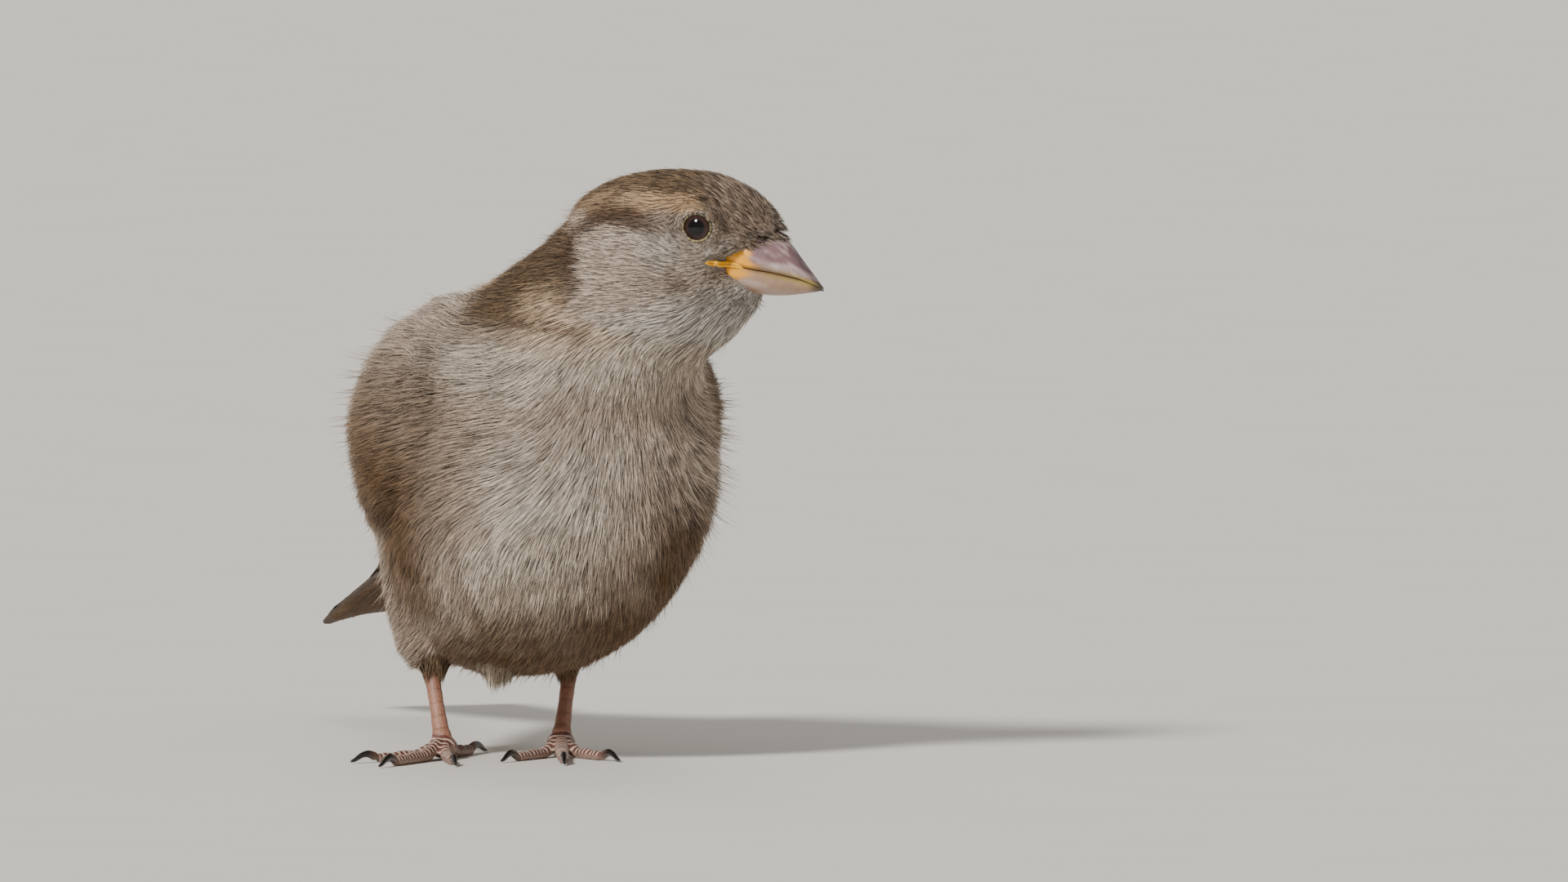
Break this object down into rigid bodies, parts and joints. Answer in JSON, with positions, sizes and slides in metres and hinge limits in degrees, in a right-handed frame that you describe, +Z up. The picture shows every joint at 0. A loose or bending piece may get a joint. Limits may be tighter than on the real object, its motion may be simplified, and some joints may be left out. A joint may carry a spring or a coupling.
{
  "type": "house sparrow",
  "caption": "Life-size still model of a female house sparrow standing with its head turned to its left, for museum-type display.",
  "frame": {"origin": "on the floor, under the middle of the bird's bounding box", "axes": "+X is the bird's left, +Y runs back along the body to the tail (the breast faces -Y), +Z is up"},
  "size_m": [0.049, 0.1304, 0.0727],
  "materials": {
    "head_feathers": "soft grey-brown plumage, finely streaked",
    "neck_feathers": "soft buff-grey plumage",
    "breast_feathers": "soft buff-grey plumage, hair-like barbs",
    "thigh_feathers": "soft buff-grey plumage",
    "wing_feathers": "brown feathers with black streaks and buff edges",
    "primary_feathers": "dark brown flight feathers with thin buff edges",
    "tail_feathers": "dark brown feathers with paler edges",
    "leg_skin": "pinkish-brown scaly skin",
    "toe_skin": "reddish-brown scaly skin with pale rings",
    "claw_horn": "dark glossy horn",
    "bill_horn": "mauve-grey horn with a yellow-orange base",
    "eye_gloss": "wet dark brown eye"
  },
  "bodies": {
    "root": {"bill_lower": "bill_horn", "bill_upper": "bill_horn", "claw_left_1": "claw_horn", "claw_left_2": "claw_horn", "claw_left_3": "claw_horn", "claw_left_4": "claw_horn", "claw_right_1": "claw_horn", "claw_right_2": "claw_horn", "claw_right_3": "claw_horn", "claw_right_4": "claw_horn", "eye_left": "eye_gloss", "eye_right": "eye_gloss", "head": "head_feathers", "neck": "neck_feathers", "primaries_left": "primary_feathers", "primaries_right": "primary_feathers", "tail": "tail_feathers", "tarsus_left": "leg_skin", "tarsus_right": "leg_skin", "thigh_left": "thigh_feathers", "thigh_right": "thigh_feathers", "toe_left_1": "toe_skin", "toe_left_2": "toe_skin", "toe_left_3": "toe_skin", "toe_left_4": "toe_skin", "toe_right_1": "toe_skin", "toe_right_2": "toe_skin", "toe_right_3": "toe_skin", "toe_right_4": "toe_skin", "trunk": "breast_feathers", "wing_left": "wing_feathers", "wing_right": "wing_feathers"}
  },
  "joints": []
}
